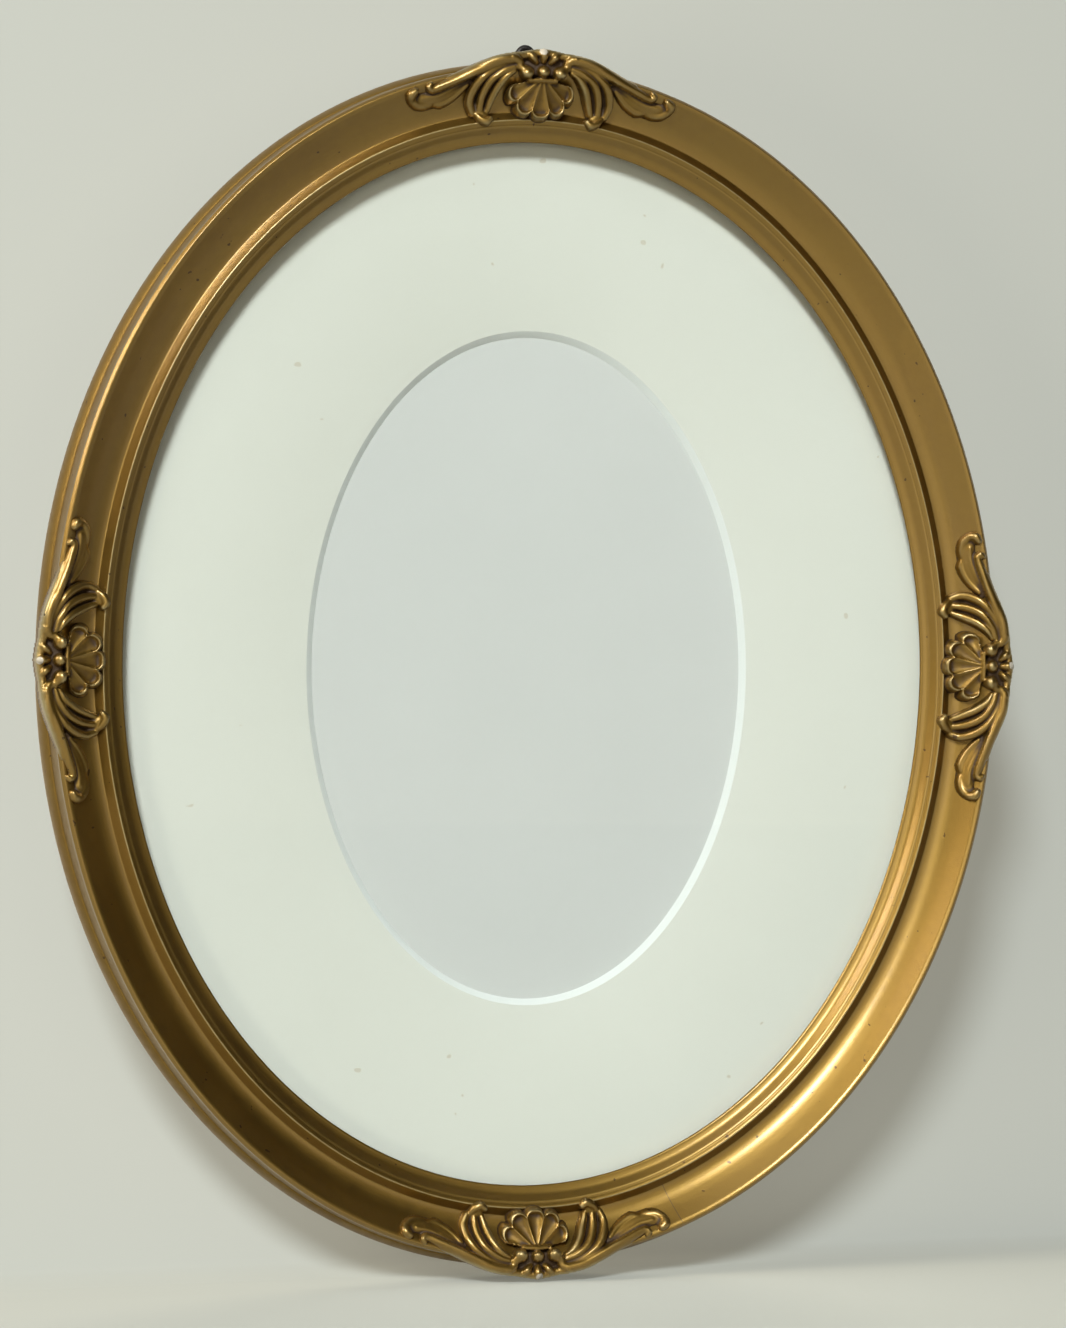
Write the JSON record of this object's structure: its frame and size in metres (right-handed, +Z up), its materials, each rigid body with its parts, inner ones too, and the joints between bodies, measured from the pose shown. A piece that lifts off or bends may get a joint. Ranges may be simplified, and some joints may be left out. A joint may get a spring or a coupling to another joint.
{
  "type": "oval picture frame",
  "caption": "Gilt oval picture frame with moulded shell-and-leaf ornaments, glass, oval-cut mat, plain insert, backing board, turn buttons and a swinging wire hanging loop.",
  "frame": {"origin": "hanging point: the inside of the hanger ring's apex, where the nail bears", "axes": "+Z up along the oval's long axis, +X to the viewer's right, +Y away from the viewer into the wall, so the picture faces -Y"},
  "size_m": [0.2298, 0.0206, 0.2835],
  "materials": {
    "gilt_wood": "aged gold gilding over wood",
    "gilt_composition": "aged gold gilding over moulded composition",
    "dowel_wood": "bare",
    "glass": "clear",
    "mat_board": "matt off-white",
    "insert_paper": "matt pale grey",
    "backing_board": "matt brown board",
    "button_brass": "dull",
    "screw_steel": "dull",
    "hanger_steel": "blackened"
  },
  "bodies": {
    "frame": {"moulding_right": "gilt_wood", "moulding_top": "gilt_wood", "moulding_left": "gilt_wood", "moulding_bottom": "gilt_wood", "joint_dowels": "dowel_wood", "ornament_right": "gilt_composition", "ornament_top": "gilt_composition", "ornament_left": "gilt_composition", "ornament_bottom": "gilt_composition", "glass": "glass", "mat": "mat_board", "insert_sheet": "insert_paper", "backing_board": "backing_board", "turn_button_screws": "screw_steel", "hanger_plate": "hanger_steel", "hanger_screws": "screw_steel"},
    "hanger_ring": {"hanger_ring": "hanger_steel"},
    "turn_button_upper_right": {"turn_button_upper_right": "button_brass"},
    "turn_button_upper_left": {"turn_button_upper_left": "button_brass"},
    "turn_button_lower_left": {"turn_button_lower_left": "button_brass"},
    "turn_button_lower_right": {"turn_button_lower_right": "button_brass"}
  },
  "joints": [
    {"name": "hanger_ring_swing", "type": "hinge", "parent": "frame", "child": "hanger_ring", "pos_m": [0, 0, -0.0089], "axis": [-1, 0, 0], "range_deg": [0, 178]},
    {"name": "turn_button_upper_right_turn", "type": "hinge", "parent": "frame", "child": "turn_button_upper_right", "pos_m": [0.08289, -0.00105, -0.05799], "axis": [0, 1, 0], "continuous": true},
    {"name": "turn_button_upper_left_turn", "type": "hinge", "parent": "frame", "child": "turn_button_upper_left", "pos_m": [-0.08289, -0.00105, -0.05799], "axis": [0, 1, 0], "continuous": true},
    {"name": "turn_button_lower_left_turn", "type": "hinge", "parent": "frame", "child": "turn_button_lower_left", "pos_m": [-0.08289, -0.00105, -0.22581], "axis": [0, 1, 0], "continuous": true},
    {"name": "turn_button_lower_right_turn", "type": "hinge", "parent": "frame", "child": "turn_button_lower_right", "pos_m": [0.08289, -0.00105, -0.22581], "axis": [0, 1, 0], "continuous": true}
  ]
}
